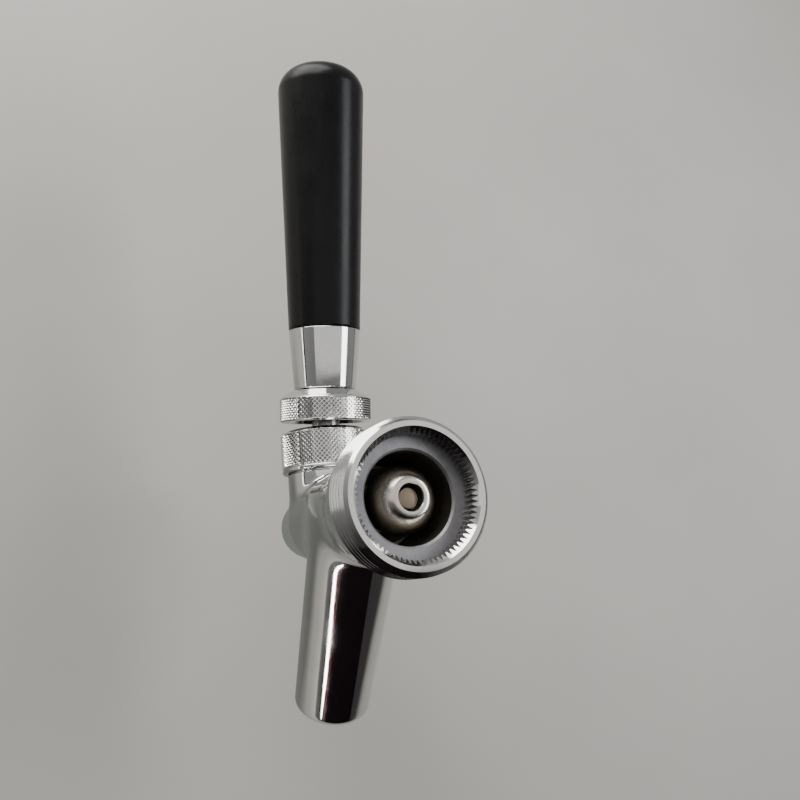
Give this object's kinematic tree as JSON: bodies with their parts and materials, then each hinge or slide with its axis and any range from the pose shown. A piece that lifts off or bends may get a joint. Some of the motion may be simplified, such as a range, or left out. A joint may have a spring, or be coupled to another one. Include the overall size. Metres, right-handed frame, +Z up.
{
  "type": "beer tap faucet",
  "caption": "Chromed beer faucet with a toothed, threaded inlet, slanted spout, knurled bonnet and collar, and a tapered black handle that tilts to open the valve.",
  "frame": {"origin": "centre of the inlet's rim, on the inlet axis, where the shank's coupling nut screws on", "axes": "+Z up with the tap on its shank, +Y out of the inlet towards the shank, +X to the left of somebody who faces the inlet; the lever's plane is X = 0"},
  "size_m": [0.0286, 0.067, 0.1486],
  "materials": {
    "chrome": "bright chrome plate over brass, satin on the turned inlet seat",
    "polished_steel": "polished stainless steel",
    "brass": "plain turned brass, slightly dulled",
    "zinc_plated_steel": "zinc plated",
    "black_plastic": "moulded, semi-gloss",
    "white_nylon": "moulded nylon, matt",
    "black_rubber": "matt rubber"
  },
  "bodies": {
    "body": {"faucet_body": "chrome", "bonnet": "chrome", "ball_washer": "white_nylon", "friction_washer": "white_nylon"},
    "lever": {"lever": "polished_steel", "lever_collar": "chrome", "handle_ferrule": "chrome", "hanger_bolt": "zinc_plated_steel", "handle_insert": "brass", "handle_grip": "black_plastic"},
    "valve": {"valve_shaft": "brass", "seat_washer": "black_rubber", "backing_washer": "polished_steel", "shaft_nut": "polished_steel"}
  },
  "joints": [
    {"name": "lever_tilt", "type": "hinge", "parent": "body", "child": "lever", "pos_m": [0, -0.04665, 0.0128], "axis": [1, 0, 0], "range_deg": [0, 28]},
    {"name": "shaft_slide", "type": "slide", "parent": "body", "child": "valve", "axis": [0, 1, 0], "range_m": [0, 0.0045]}
  ],
  "couplings": [
    {"joint": "shaft_slide", "follows": "lever_tilt", "m_per_rad": 0.00907}
  ]
}
